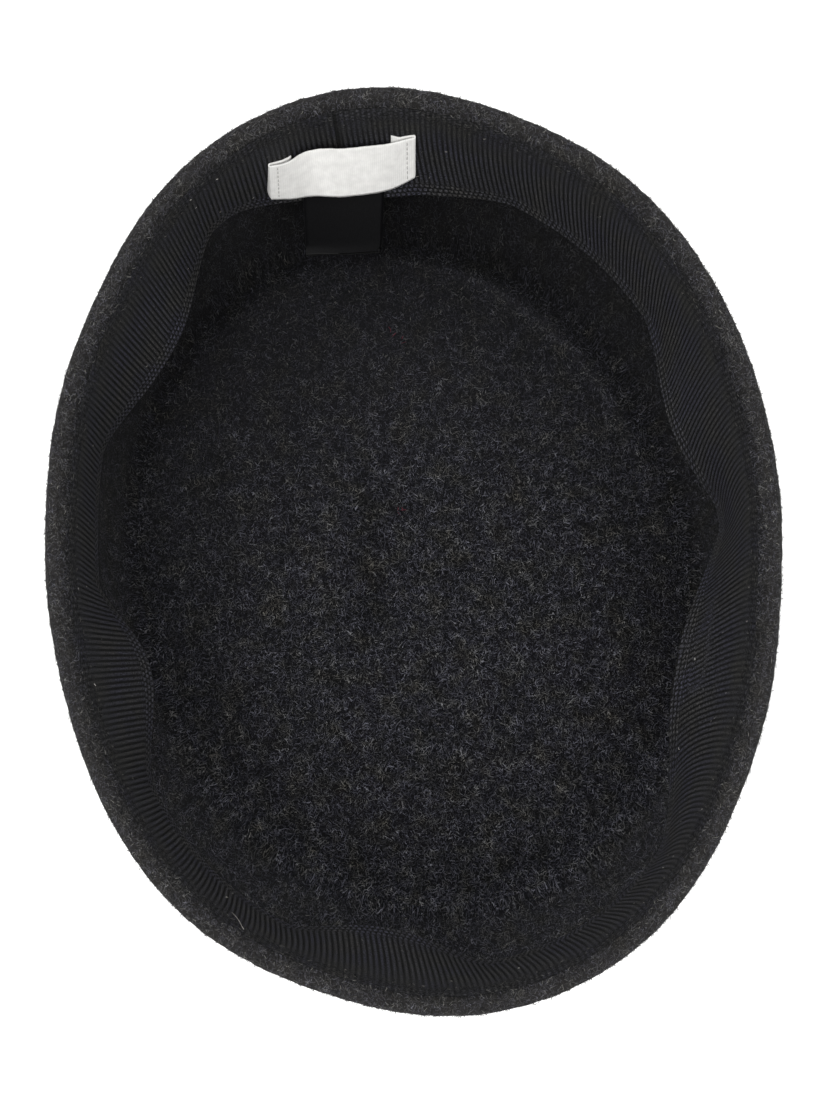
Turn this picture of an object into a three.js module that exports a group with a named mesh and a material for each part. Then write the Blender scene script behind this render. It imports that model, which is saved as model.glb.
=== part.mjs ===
// A pillbox hat of wool felt, lying crown down with its opening up.
//
// Four pieces, from the outside in:
//   felt_crown   one blocked piece of felt: flat tip, tapering wall, raw rounded rim
//   sweatband    a ribbed ribbon sewn round the inside of the rim, its lower edge free and wavy
//   woven_label  a strip with both ends folded under, sewn to the ribbon at the back
//   size_label   a small satin tag that hangs from under the woven label
//
// Millimetres. The tip rests on z = 0, +Y is the back of the hat and +X its right when the
// opening is seen from above with the back at the top. Bearings are degrees from +X towards +Y.

import * as THREE from "three";

// Felt crown
const HEIGHT = 70;
const FELT = 3;
const RIM = { x: 83, y: 104.5 }; // half widths of the rim's outer edge
const TIP = { x: 69.5, y: 82.5 }; // the same for the wall's outer face, carried down to the floor
const OVAL_POWER = 2.05; // 2 is an ellipse
// Gentle waves on the ovals: lobes is how many fit round, bearing is where one crests.
const RIM_LOBES = [
  { lobes: 1, height: 0.4, bearing: 280 },
  { lobes: 2, height: 1.3, bearing: 50 },
  { lobes: 4, height: 0.8, bearing: 24 },
  { lobes: 5, height: 0.25, bearing: 14 },
  { lobes: 6, height: 0.5, bearing: 43 },
  { lobes: 8, height: 0.2, bearing: 5 },
  { lobes: 10, height: 0.13, bearing: 11 },
  { lobes: 12, height: 0.12, bearing: 27 },
];
const TIP_LOBES = [{ lobes: 2, height: 2.3, bearing: 125 }];
const FLARE = 3; // the raw rim turns outwards by this much
const FLARE_FALL = 4; // depth over which two thirds of the flare is gone
const BELLY = 0.8; // 0 is a straight wall, 1 one that curves in all the way to the tip
const CORNER = 7; // reach of the rounded corner between wall and tip, along each

// Sweatband
const BAND_WIDTH = 30;
const BAND_DEPTH = { side: 5.5, end: 3.2 }; // its sewn edge below the top of the rim
const CLOTH = 1; // ribbon and labels
const GAP = 0.3; // clearance between pieces that touch
const EASE = 0.4; // how far the free edge stands off the felt where it lies flat
const CURL = 1.5; // 1 is a ribbon straight across, more is one that curls in at its free edge
const SEAM_BEARING = 92.7;
const LAP_BEARING = 5; // one end of the ribbon lies over the other by this much
const LAP_RISE_BEARING = 5; // and climbs onto it over this much
const LAP_EASE = 1; // a label lies clear of the lap for this much more on each side
// Where the free edge waves in towards the head. stand is how far it leaves the felt at the
// crest, before and after are the bearings over which the fold rises and falls.
const FOLDS = [
  { bearing: 19, stand: 7.6, before: 22, after: 20 },
  { bearing: 54, stand: 3.4, before: 52, after: 40 },
  { bearing: 90, stand: 8.6, before: 24, after: 20 },
  { bearing: 128, stand: 9.6, before: 15, after: 25 },
  { bearing: 195, stand: 9.3, before: 19, after: 18 },
  { bearing: 259, stand: 7.8, before: 16, after: 14 },
  { bearing: 327, stand: 12.8, before: 25, after: 36 },
];
const FOLD_POWER = 1.5;

// Labels, measured on the ribbon: across is along its length, down is from its sewn edge,
// off is away from its inner face.
const LABEL_BEARING = 92.7;
const WOVEN = { length: 35.4, side: 0.9, slant: -1, flap: 5.4, flapDrop: 1 };
// The woven label's edges along its length, as shares of it: how far down the ribbon the upper
// and lower edges lie, and how far each bows off it.
const WOVEN_EDGES = [
  { share: 0, upper: 5.4, upperOff: 0, lower: 18.6, lowerOff: 2 },
  { share: 0.12, upper: 6.8, upperOff: 0.2, lower: 20, lowerOff: 2.4 },
  { share: 0.25, upper: 4.7, upperOff: 0.4, lower: 15.6, lowerOff: 5.4 },
  { share: 0.37, upper: 4.5, upperOff: 0.5, lower: 13.8, lowerOff: 7 },
  { share: 0.5, upper: 5.6, upperOff: 0.5, lower: 14.6, lowerOff: 7.2 },
  { share: 0.62, upper: 6.2, upperOff: 0.5, lower: 15.5, lowerOff: 6.7 },
  { share: 0.75, upper: 6.3, upperOff: 0.4, lower: 16.2, lowerOff: 5.8 },
  { share: 0.88, upper: 5.7, upperOff: 0.2, lower: 17.6, lowerOff: 3.9 },
  { share: 1, upper: 4.3, upperOff: 0, lower: 16.8, lowerOff: 2 },
];
const SIZE_TAG = { width: 18.6, side: 2.9, top: 9, bend: 20.5, bendRadius: 8, turn: 38, hang: 12, skew: -13 };

// Fineness of the faceted surfaces
const ROUND_STEPS = 80;
const TIP_STEPS = 3;
const CORNER_STEPS = 4;
const WALL_STEPS = 8;
const WALL_CROWDING = 1.5; // over 1 brings the steps closer together towards the flared rim
const RIM_STEPS = 3;
const BAND_STEPS = 100;
const BAND_ROWS = 7;
const SETTLE_PASSES = 3; // rounds that settle a row's height and radius against each other
const LABEL_ROWS = 4;
const SPAN_STEPS = 12;
const TURN_STEPS = 4;

const radians = THREE.MathUtils.degToRad;

// Outlines of the hat, as a radius for each bearing

function oval(bearing, half) {
  const across = Math.abs(Math.cos(radians(bearing)) / half.x) ** OVAL_POWER;
  const along = Math.abs(Math.sin(radians(bearing)) / half.y) ** OVAL_POWER;
  return (across + along) ** (-1 / OVAL_POWER);
}

function lobed(bearing, table) {
  return table.reduce(
    (sum, row) => sum + row.height * Math.cos(radians(row.lobes * (bearing - row.bearing))),
    0,
  );
}

const rimRadius = (bearing) => oval(bearing, RIM) + lobed(bearing, RIM_LOBES);
const tipRadius = (bearing) => oval(bearing, TIP) + lobed(bearing, TIP_LOBES);

// Radius of the wall's outer face at a height.
function outerRadius(bearing, z) {
  const depth = HEIGHT - FELT / 2 - z; // below the widest place of the rounded rim
  const share = depth / (HEIGHT - FELT / 2);
  const flare = FLARE * (1 - Math.exp(-depth / FLARE_FALL));
  const taper = rimRadius(bearing) - tipRadius(bearing) - FLARE;
  return rimRadius(bearing) - flare - taper * ((1 - BELLY) * share + BELLY * share * share);
}

// The middle of the felt as [radius, z] stations from the centre of the tip to the rim.
function feltMiddle(bearing) {
  const half = FELT / 2;
  const wall = (z) => outerRadius(bearing, z) - half;
  const corner = wall(half);
  const path = [];
  for (let i = 0; i <= TIP_STEPS; i++) {
    path.push([((corner - CORNER) * i) / TIP_STEPS, half]);
  }
  for (let i = 1; i <= CORNER_STEPS; i++) {
    const t = i / CORNER_STEPS;
    const rise = half + CORNER * t * t;
    path.push([wall(rise) - CORNER * (1 - t) ** 2, rise]);
  }
  const foot = half + CORNER;
  for (let i = 1; i <= WALL_STEPS; i++) {
    const t = 1 - (1 - i / WALL_STEPS) ** WALL_CROWDING;
    const z = foot + (HEIGHT - half - foot) * t;
    path.push([wall(z), z]);
  }
  return path;
}

// The felt's section at a bearing: out along the outer face, round the rim, back inside.
function feltSection(bearing) {
  const path = feltMiddle(bearing);
  const half = FELT / 2;
  const last = path.length - 1;
  const angles = path.map((point, i) => {
    const before = path[Math.max(i - 1, 0)];
    const after = path[Math.min(i + 1, last)];
    return i === 0 ? 0 : Math.atan2(after[1] - before[1], after[0] - before[0]);
  });
  const offset = (i, turn) => {
    const direction = angles[i] + turn;
    return [path[i][0] + half * Math.cos(direction), path[i][1] + half * Math.sin(direction)];
  };
  const outer = path.map((point, i) => offset(i, -Math.PI / 2));
  const inner = path.map((point, i) => offset(i, Math.PI / 2));
  const rim = [];
  for (let i = 1; i < RIM_STEPS; i++) {
    rim.push(offset(last, -Math.PI / 2 + (Math.PI * i) / RIM_STEPS));
  }
  return [...outer, ...rim, ...inner.reverse()];
}

// Radius of the felt's inner face at a height, measured level with it.
function innerRadius(bearing, z) {
  const step = 0.5;
  const slope = (outerRadius(bearing, z + step) - outerRadius(bearing, z - step)) / (2 * step);
  return outerRadius(bearing, z) - FELT * Math.hypot(1, slope);
}

const polar = (bearing, radius, z) =>
  new THREE.Vector3(
    radius * Math.cos(radians(bearing)),
    radius * Math.sin(radians(bearing)),
    z,
  );

// Closed surfaces

function closedGeometry(points, triangles) {
  const geometry = new THREE.BufferGeometry().setFromPoints(points);
  geometry.setIndex(triangles.flat());
  geometry.computeVertexNormals();
  return geometry;
}

// A body of closed sections set one after another round an axis. Each section starts and ends
// on the axis, where all sections share one point.
function turnedGeometry(sections) {
  const count = sections.length;
  const inside = sections[0].length - 2;
  const points = sections.flatMap((section) => section.slice(1, -1));
  const first = points.push(sections[0][0]) - 1;
  const final = points.push(sections[0][inside + 1]) - 1;
  const triangles = [];
  for (let i = 0; i < count; i++) {
    const here = i * inside;
    const next = ((i + 1) % count) * inside;
    triangles.push([first, next, here]);
    for (let j = 0; j < inside - 1; j++) {
      triangles.push([here + j, next + j, next + j + 1]);
      triangles.push([here + j, next + j + 1, here + j + 1]);
    }
    triangles.push([here + inside - 1, next + inside - 1, final]);
  }
  return closedGeometry(points, triangles);
}

// A strip of cloth: one closed loop of points for each station along it, and a cap at each end.
// A loop runs down one face and back up the other.
function stripGeometry(loops) {
  const size = loops[0].length;
  const points = loops.flat();
  const triangles = [];
  for (let i = 0; i < loops.length - 1; i++) {
    for (let j = 0; j < size; j++) {
      const [a, b] = [i * size + j, i * size + ((j + 1) % size)];
      triangles.push([a, a + size, b + size]);
      triangles.push([a, b + size, b]);
    }
  }
  const end = (loops.length - 1) * size;
  for (let j = 0; j < size / 2 - 1; j++) {
    const [a, b, c, d] = [j, j + 1, size - 2 - j, size - 1 - j];
    triangles.push([a, b, c], [a, c, d]);
    triangles.push([end + a, end + c, end + b], [end + a, end + d, end + c]);
  }
  return closedGeometry(points, triangles);
}

function feltCrown() {
  const sections = [];
  for (let i = 0; i < ROUND_STEPS; i++) {
    const bearing = (360 * i) / ROUND_STEPS;
    sections.push(feltSection(bearing).map(([radius, z]) => polar(bearing, radius, z)));
  }
  return turnedGeometry(sections);
}

// Sweatband

// How far the ribbon's free edge stands off the felt.
function foldStand(bearing) {
  return FOLDS.reduce((sum, fold) => {
    const away = ((bearing - fold.bearing + 540) % 360) - 180;
    const share = away / (away < 0 ? fold.before : fold.after);
    return sum + fold.stand * Math.max(1 - share * share, 0) ** FOLD_POWER;
  }, EASE);
}

// 1 at the sides of the hat, 0 at its front and back.
const sideShare = (bearing) => Math.cos(radians(bearing)) ** 2;

// The ribbon's outer face at a bearing, as points { radius, z } a row apart across its width.
function bandProfile(bearing) {
  const top = HEIGHT - BAND_DEPTH.end - (BAND_DEPTH.side - BAND_DEPTH.end) * sideShare(bearing);
  const row = BAND_WIDTH / (BAND_ROWS - 1);
  const stand = foldStand(bearing);
  const profile = [{ radius: innerRadius(bearing, top) - GAP, z: top }];
  for (let j = 1; j < BAND_ROWS; j++) {
    const last = profile[j - 1];
    const off = GAP + stand * (j / (BAND_ROWS - 1)) ** CURL;
    const next = { radius: last.radius, z: last.z - row };
    for (let pass = 0; pass < SETTLE_PASSES; pass++) {
      next.radius = innerRadius(bearing, next.z) - off;
      next.z = last.z - Math.sqrt(row ** 2 - (last.radius - next.radius) ** 2);
    }
    profile.push(next);
  }
  return profile;
}

// A point on the ribbon, down from its sewn edge and off its outer face towards the head.
// Past the free edge it follows the ribbon's last slope.
function onBand(bearing, down, off) {
  const profile = bandProfile(bearing);
  const place = (down * (BAND_ROWS - 1)) / BAND_WIDTH;
  const j = Math.min(Math.floor(place), BAND_ROWS - 2);
  const slope = (k) => {
    const above = profile[Math.max(k - 1, 0)];
    const below = profile[Math.min(k + 1, BAND_ROWS - 1)];
    return Math.atan2(above.radius - below.radius, above.z - below.z);
  };
  const { lerp } = THREE.MathUtils;
  const radius = lerp(profile[j].radius, profile[j + 1].radius, place - j);
  const z = lerp(profile[j].z, profile[j + 1].z, place - j);
  const lean = lerp(slope(j), slope(j + 1), Math.min(place - j, 1));
  return polar(bearing, radius - off * Math.cos(lean), z - off * Math.sin(lean));
}

const smooth = (t) => THREE.MathUtils.smoothstep(t, 0, 1);

function sweatband() {
  const loops = [];
  const length = 360 + LAP_BEARING;
  for (let i = 0; i <= BAND_STEPS; i++) {
    const turned = (length * i) / BAND_STEPS;
    const bearing = SEAM_BEARING - LAP_BEARING / 2 + turned;
    const climb = smooth((turned - 360 + LAP_RISE_BEARING) / LAP_RISE_BEARING);
    const lift = (CLOTH + GAP) * climb;
    const downs = Array.from({ length: BAND_ROWS }, (_, j) => (BAND_WIDTH * j) / (BAND_ROWS - 1));
    const outer = downs.map((down) => onBand(bearing, down, lift));
    const inner = downs.map((down) => onBand(bearing, down, lift + CLOTH));
    loops.push([...inner, ...outer.reverse()]);
  }
  return stripGeometry(loops);
}

// Labels

// How much the ribbon's lapped ends lift what lies over them.
function lapLift(bearing) {
  const away = Math.abs(bearing - SEAM_BEARING) - LAP_BEARING / 2;
  return (CLOTH + GAP) * (1 - smooth((away - LAP_EASE) / LAP_RISE_BEARING));
}

// A point over the ribbon's inner face, by its distance across the middle of the labels.
function onLabel(across, down, off) {
  const seat = onBand(LABEL_BEARING, down, 0);
  const bearing = LABEL_BEARING - THREE.MathUtils.radToDeg(across / Math.hypot(seat.x, seat.y));
  return onBand(bearing, down, CLOTH + GAP + lapLift(bearing) + off);
}

// The loops of a strip whose middle runs through stations { at, normal } in a plane, where
// place(at, row) sets a point of that plane in space for each of the rows over its breadth.
function stripLoops(stations, rows, place) {
  const shares = Array.from({ length: rows }, (_, j) => j / (rows - 1));
  return stations.map(({ at, normal }) => {
    const face = (side) =>
      shares.map((share) => place(at.clone().addScaledVector(normal, (side * CLOTH) / 2), share));
    return [...face(-1), ...face(1).reverse()];
  });
}

// Stations on a curve in a plane, with the normal on the left of its run.
function stationsOf(points) {
  return points.map((at, i) => {
    const run = points[Math.min(i + 1, points.length - 1)].clone();
    run.sub(points[Math.max(i - 1, 0)]).normalize();
    return { at, normal: new THREE.Vector2(-run.y, run.x) };
  });
}

// Points on an arc, from one angle to another in degrees.
function arc(centre, radius, from, to, steps) {
  return Array.from({ length: steps + 1 }, (_, i) => {
    const angle = radians(from + ((to - from) * i) / steps);
    return new THREE.Vector2(radius * Math.cos(angle), radius * Math.sin(angle)).add(centre);
  });
}

// The woven label's edges at a share of its length.
function wovenEdges(share) {
  const next = Math.max(WOVEN_EDGES.findIndex((row) => row.share >= share), 1);
  const [low, high] = [WOVEN_EDGES[next - 1], WOVEN_EDGES[next]];
  const part = (share - low.share) / (high.share - low.share);
  const between = (name) => THREE.MathUtils.lerp(low[name], high[name], part);
  return {
    upper: between("upper"),
    upperOff: between("upperOff"),
    lower: between("lower"),
    lowerOff: between("lowerOff"),
  };
}

// The strip lies flat at each end, turns back over itself and spans the middle in a bow.
function wovenLabel() {
  const half = WOVEN.length / 2;
  const turn = (CLOTH + GAP) / 2;
  const under = CLOTH / 2;
  const left = new THREE.Vector2(turn - half, under + turn);
  const right = new THREE.Vector2(half - turn, under + turn);
  const middle = [
    new THREE.Vector2(WOVEN.flap - half, under),
    ...arc(left, turn, 270, 90, TURN_STEPS),
  ];
  for (let i = 1; i < SPAN_STEPS; i++) {
    const across = left.x + ((right.x - left.x) * i) / SPAN_STEPS;
    middle.push(new THREE.Vector2(across, under + 2 * turn));
  }
  middle.push(...arc(right, turn, 90, -90, TURN_STEPS), new THREE.Vector2(half - WOVEN.flap, under));
  const loops = stripLoops(stationsOf(middle), LABEL_ROWS, (at, share) => {
    const over = smooth((at.y - under) / (2 * turn)); // 0 on a flap, 1 on the span
    const edges = wovenEdges(Math.min(Math.max(at.x / WOVEN.length + 0.5, 0), 1));
    const { lerp } = THREE.MathUtils;
    const down = lerp(edges.upper, edges.lower, share) + WOVEN.flapDrop * (1 - over);
    const bow = over * lerp(edges.upperOff, edges.lowerOff, share);
    return onLabel(at.x + WOVEN.side + WOVEN.slant * share, down, at.y + bow);
  });
  return stripGeometry(loops);
}

// The tag starts between the woven label's flaps, clears the ribbon's free edge and bends away.
function sizeLabel() {
  const under = CLOTH / 2;
  const centre = new THREE.Vector2(SIZE_TAG.bend, under + SIZE_TAG.bendRadius);
  const middle = [
    new THREE.Vector2(SIZE_TAG.top, under),
    new THREE.Vector2((SIZE_TAG.top + SIZE_TAG.bend) / 2, under),
    ...arc(centre, SIZE_TAG.bendRadius, 270, 270 + SIZE_TAG.turn, TURN_STEPS),
  ];
  const end = new THREE.Vector2(Math.cos(radians(SIZE_TAG.turn)), Math.sin(radians(SIZE_TAG.turn)));
  middle.push(middle.at(-1).clone().addScaledVector(end, SIZE_TAG.hang));
  const skew = Math.tan(radians(SIZE_TAG.skew));
  const loops = stripLoops(stationsOf(middle), LABEL_ROWS, (at, share) => {
    const across = SIZE_TAG.side + SIZE_TAG.width * (0.5 - share) + skew * (at.x - SIZE_TAG.top);
    return onLabel(across, at.x, at.y);
  });
  return stripGeometry(loops);
}

// The assembled hat

function piece(name, geometry, color, roughness) {
  const material = new THREE.MeshStandardMaterial({ color, roughness, metalness: 0 });
  const mesh = new THREE.Mesh(geometry, material);
  mesh.name = name;
  return mesh;
}

const hat = new THREE.Group();
hat.add(piece("felt_crown", feltCrown(), 0x34343a, 0.95));
hat.add(piece("sweatband", sweatband(), 0x26262a, 0.75));
hat.add(piece("woven_label", wovenLabel(), 0xecebe6, 0.7));
hat.add(piece("size_label", sizeLabel(), 0x141417, 0.45));

export default hat;
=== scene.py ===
import math

import bpy
import numpy as np
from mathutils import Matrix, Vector, noise


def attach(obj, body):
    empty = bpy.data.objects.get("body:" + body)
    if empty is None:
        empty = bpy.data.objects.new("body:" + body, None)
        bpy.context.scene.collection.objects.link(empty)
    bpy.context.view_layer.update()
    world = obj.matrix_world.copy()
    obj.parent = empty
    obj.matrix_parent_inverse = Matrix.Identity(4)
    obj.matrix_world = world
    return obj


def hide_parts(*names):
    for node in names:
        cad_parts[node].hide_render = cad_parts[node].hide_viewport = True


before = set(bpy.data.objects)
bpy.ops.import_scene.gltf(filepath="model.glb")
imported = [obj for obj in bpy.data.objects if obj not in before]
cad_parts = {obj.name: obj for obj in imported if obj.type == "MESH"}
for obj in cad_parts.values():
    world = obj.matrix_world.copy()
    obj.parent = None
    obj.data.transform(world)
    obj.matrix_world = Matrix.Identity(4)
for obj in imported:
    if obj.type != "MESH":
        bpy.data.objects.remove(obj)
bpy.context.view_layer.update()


# ---------------------------------------------------------------------------------------------
# Camera, floor and lights. The hat lies crown down on a pale floor, looked at from almost
# straight above, under a broad softbox with light from all round.

SIGHT = Vector((0, -0.001, 0.068))  # what the camera looks at, at the height of the rim
CAMERA_AWAY = 1.0
CAMERA_AZIMUTH = math.radians(-8)
CAMERA_ELEVATION = math.radians(84.3)
CAMERA_LENS = 146.0

back = Vector((
    math.sin(CAMERA_AZIMUTH) * math.cos(CAMERA_ELEVATION),
    -math.cos(CAMERA_AZIMUTH) * math.cos(CAMERA_ELEVATION),
    math.sin(CAMERA_ELEVATION),
))
camera = bpy.data.objects.new("camera", bpy.data.cameras.new("camera"))
camera.location = SIGHT + back * CAMERA_AWAY
camera.rotation_euler = back.to_track_quat("Z", "Y").to_euler()
camera.data.sensor_width = 36
camera.data.lens = CAMERA_LENS
bpy.context.scene.collection.objects.link(camera)
bpy.context.scene.camera = camera
bpy.context.scene.view_settings.view_transform = "Standard"


def srgb(hex_colour):
    """An sRGB colour such as "#34343a" as linear red, green, blue and alpha."""
    parts = [int(hex_colour[i:i + 2], 16) / 255 for i in (1, 3, 5)]
    linear = [p / 12.92 if p <= 0.04045 else ((p + 0.055) / 1.055) ** 2.4 for p in parts]
    return (*linear, 1)


def new_material(name, **sockets):
    """A material whose shader has these values on its sockets."""
    made = bpy.data.materials.new(name)
    made.use_nodes = True
    shader = made.node_tree.nodes["Principled BSDF"]
    for socket, value in sockets.items():
        shader.inputs[socket.replace("_", " ")].default_value = value
    return made


def add(material, kind, inputs, stops=None, out=0, **settings):
    """Adds a node and gives one of its outputs, or all of them where out is None. inputs maps a
    socket's name or number to a value or to another node's output, stops are the colours of a
    ramp by position, and settings are the node's own."""
    made = material.node_tree.nodes.new("ShaderNode" + kind)
    for name, value in settings.items():
        setattr(made, name, value)
    for socket, value in inputs.items():
        if isinstance(value, bpy.types.NodeSocket):
            material.node_tree.links.new(value, made.inputs[socket])
        else:
            made.inputs[socket].default_value = value
    if stops:
        ramp = made.color_ramp
        while len(ramp.elements) < len(stops):
            ramp.elements.new(0.5)
        for element, (position, colour) in zip(ramp.elements, sorted(stops.items())):
            element.position = position
            element.color = colour
    return made.outputs if out is None else made.outputs[out]


def finish_material(material, colour, height, distance, strength=1.0):
    """Joins a colour, and a height in parts of distance (metres), to the shader."""
    shader = material.node_tree.nodes["Principled BSDF"]
    bump = add(material, "Bump", {"Height": height, "Distance": distance, "Strength": strength})
    material.node_tree.links.new(colour, shader.inputs["Base Color"])
    material.node_tree.links.new(bump, shader.inputs["Normal"])


FLOOR_HALF = 2.0
CLOUDS_PER_M = 3.0
DAYLIGHT = 1.15  # strength of the light from all round

# Opal acrylic sheet, sanded matt and lit from below, as a product table is: it glows a little,
# so that shadows on it stay faint. No gloss, a faint unevenness in its tone.
board = new_material("opal_acrylic_sanded_white", Roughness=0.9, Emission_Strength=0.4,
                     Emission_Color=srgb("#ffffff"))
place = add(board, "TexCoord", {}, out="Object")
cloud = add(board, "TexNoise", {"Vector": place, "Scale": CLOUDS_PER_M, "Detail": 2.0})
tone = add(board, "ValToRGB", {0: cloud}, stops={0.3: srgb("#f7f7f6"), 0.7: srgb("#fafaf9")})
finish_material(board, tone, cloud, 0.0001, 0.05)

floor_mesh = bpy.data.meshes.new("floor")
corners = [(-1, -1), (1, -1), (1, 1), (-1, 1)]
floor_mesh.from_pydata([(x * FLOOR_HALF, y * FLOOR_HALF, 0) for x, y in corners], [], [(0, 1, 2, 3)])
floor_mesh.materials.append(board)
floor = bpy.data.objects.new("floor", floor_mesh)
bpy.context.scene.collection.objects.link(floor)

world = bpy.data.worlds.new("studio")
world.use_nodes = True
world.node_tree.nodes["Background"].inputs["Color"].default_value = (1, 1, 1, 1)
world.node_tree.nodes["Background"].inputs["Strength"].default_value = DAYLIGHT
bpy.context.scene.world = world

SOFTBOX_PLACE, SOFTBOX_AIM = Vector((-0.3, -0.2, 1.5)), Vector((0, 0, 0.03))
SOFTBOX_SIDE, SOFTBOX_POWER = 1.0, 9

lamp = bpy.data.lights.new("softbox_over", "AREA")
lamp.shape = "SQUARE"
lamp.size = SOFTBOX_SIDE
lamp.energy = SOFTBOX_POWER
softbox = bpy.data.objects.new("softbox_over", lamp)
softbox.location = SOFTBOX_PLACE
softbox.rotation_euler = (SOFTBOX_PLACE - SOFTBOX_AIM).to_track_quat("Z", "Y").to_euler()
bpy.context.scene.collection.objects.link(softbox)


# ---------------------------------------------------------------------------------------------
# Felt crown. One hood of melange wool felt, steamed and pulled over an oval block into a flat
# tip and a tapering wall. The rim is the cut edge of the felt, turned a little outwards by the
# hand and left raw. Sizes are millimetres, bearings degrees from +X towards +Y.

HEIGHT = 70
FELT = 3  # thickness of the felt
RIM_HALF = (83, 104.5)
TIP_HALF = (69.5, 82.5)
OVAL_POWER = 2.05
RIM_LOBES = [  # how many fit round, height, where one crests
    (1, 0.4, 280),
    (2, 1.3, 50),
    (4, 0.8, 24),
    (5, 0.25, 14),
    (6, 0.5, 43),
    (8, 0.2, 5),
    (10, 0.13, 11),
    (12, 0.12, 27),
]
TIP_LOBES = [(2, 2.3, 125)]
FLARE = 3  # how far the rim turns outwards
FLARE_FALL = 4  # depth over which two thirds of that is gone
BELLY = 0.8  # how rounded the wall's taper is
CORNER = 7  # radius between tip and wall
FELT_COLUMNS = 480
TIP_ROWS, CORNER_ROWS, WALL_ROWS, RIM_ROWS = 30, 8, 34, 8
SWAY = [  # height, size across and shift of the felt's humps
    (0.45, 26.0, 3.1),
    (0.16, 9.0, 7.7),
]
HELD, HELD_FROM, HELD_OVER = 0.75, 38, 20  # the sewn ribbon holds this much of them down
DENT = [(-7.8, 19.0), (-11.8, -9.5)]  # a shallow fold pressed across the middle of the tip
DENT_DEPTH, DENT_WIDTH = 0.9, 4.2
RIDGE = 0.7  # height of the crease round the tip
RIDGE_WIDTH = 1.5
WORN = [  # the same for the wear on the cut edge
    (0.2, 3.6, 1.3),
    (0.2, 1.7, 9.1),
]
RAGGED, RAGGED_SIZE = 0.0022, 1.9  # share of its radius by which the cut edge wavers


def oval(bearing, half):
    across = np.abs(np.cos(np.radians(bearing)) / half[0]) ** OVAL_POWER
    along = np.abs(np.sin(np.radians(bearing)) / half[1]) ** OVAL_POWER
    return (across + along) ** (-1 / OVAL_POWER)


def lobed(bearing, lobes):
    return sum(height * np.cos(np.radians(count * (bearing - crest)))
               for count, height, crest in lobes)


def outer_radius(bearing, z):
    """Radius of the wall's outer face at a bearing and height."""
    rim = oval(bearing, RIM_HALF) + lobed(bearing, RIM_LOBES)
    tip = oval(bearing, TIP_HALF) + lobed(bearing, TIP_LOBES)
    depth = HEIGHT - FELT / 2 - z
    share = depth / (HEIGHT - FELT / 2)
    flare = FLARE * (1 - np.exp(-depth / FLARE_FALL))
    return rim - flare - (rim - tip - FLARE) * ((1 - BELLY) * share + BELLY * share ** 2)


def inner_radius(bearing, z):
    """Radius of the wall's inner face, measured level with it."""
    slope = outer_radius(bearing, z + 0.5) - outer_radius(bearing, z - 0.5)
    return outer_radius(bearing, z) - FELT * np.hypot(1, slope)


def polar(bearing, radius, z):
    """Points from bearings in degrees, radii and heights."""
    turn = np.radians(bearing)
    return np.stack(np.broadcast_arrays(radius * np.cos(turn), radius * np.sin(turn), z), -1)


def ripple(points, size, shift=0.0):
    """Smooth noise from -1 to 1 at each point, with humps about size across."""
    flat = points.reshape(-1, 3) / size + shift
    return np.array([noise.noise(p) for p in flat]).reshape(points.shape[:-1])


def humps(points, table):
    """Ripples of several sizes laid over each other."""
    return sum(height * ripple(points, size, shift) for height, size, shift in table)


def smooth(t):
    t = np.clip(t, 0, 1)
    return t * t * (3 - 2 * t)


def surface(name, points, faces, **layers):
    """A smooth mesh object from points in millimetres and faces of three or four points. Each
    layer holds two numbers for every point, or for every corner of every face."""
    points = np.asarray(points, float).reshape(-1, 3)
    loops = np.concatenate([np.asarray(block).ravel() for block in faces])
    sizes = np.concatenate([np.full(len(block), np.shape(block)[1]) for block in faces])
    mesh = bpy.data.meshes.new(name)
    mesh.vertices.add(len(points))
    mesh.vertices.foreach_set("co", (points / 1000).astype(np.float32).ravel())
    mesh.loops.add(len(loops))
    mesh.loops.foreach_set("vertex_index", loops.astype(np.int32))
    mesh.polygons.add(len(sizes))
    mesh.polygons.foreach_set("loop_start", (np.cumsum(sizes) - sizes).astype(np.int32))
    mesh.polygons.foreach_set("use_smooth", np.ones(len(sizes), bool))
    for layer_name, pairs in layers.items():
        pairs = np.asarray(pairs, np.float32).reshape(-1, 2)
        layer = mesh.uv_layers.new(name=layer_name)
        layer.data.foreach_set("uv", (pairs if len(pairs) == len(loops) else pairs[loops]).ravel())
    mesh.update(calc_edges=True)
    mesh.validate()
    made = bpy.data.objects.new(name, mesh)
    bpy.context.scene.collection.objects.link(made)
    return made


def grid_faces(rows, columns, closed_rows=False, closed_columns=False, first=0):
    """The four-point faces of a grid of points stored row by row."""
    i = np.arange(rows if closed_rows else rows - 1)[:, None]
    j = np.arange(columns if closed_columns else columns - 1)[None, :]
    next_i, next_j = (i + 1) % rows, (j + 1) % columns
    corners = [i * columns + j, i * columns + next_j, next_i * columns + next_j, next_i * columns + j]
    return np.stack(corners, -1).reshape(-1, 4) + first


# The middle of the felt, as rows from the centre of the tip to the rim by columns of bearings.
felt_bearing = np.arange(FELT_COLUMNS) * 360 / FELT_COLUMNS
half = FELT / 2
foot = half + CORNER
tip_share = 1 - (1 - (np.arange(1, TIP_ROWS + 1) / TIP_ROWS)[:, None]) ** 1.5
turn_share = (np.arange(1, CORNER_ROWS + 1) / CORNER_ROWS)[:, None]
wall_share = 1 - (1 - (np.arange(1, WALL_ROWS + 1) / WALL_ROWS)[:, None]) ** 1.3
tip_radius = tip_share * (outer_radius(felt_bearing, half) - half - CORNER)
turn_z = half + CORNER * turn_share ** 2
turn_radius = outer_radius(felt_bearing, turn_z) - half - CORNER * (1 - turn_share) ** 2
wall_z = foot + (HEIGHT - half - foot) * wall_share
wall_radius = outer_radius(felt_bearing, wall_z) - half
mid_radius = np.concatenate([tip_radius, turn_radius, wall_radius])
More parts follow.
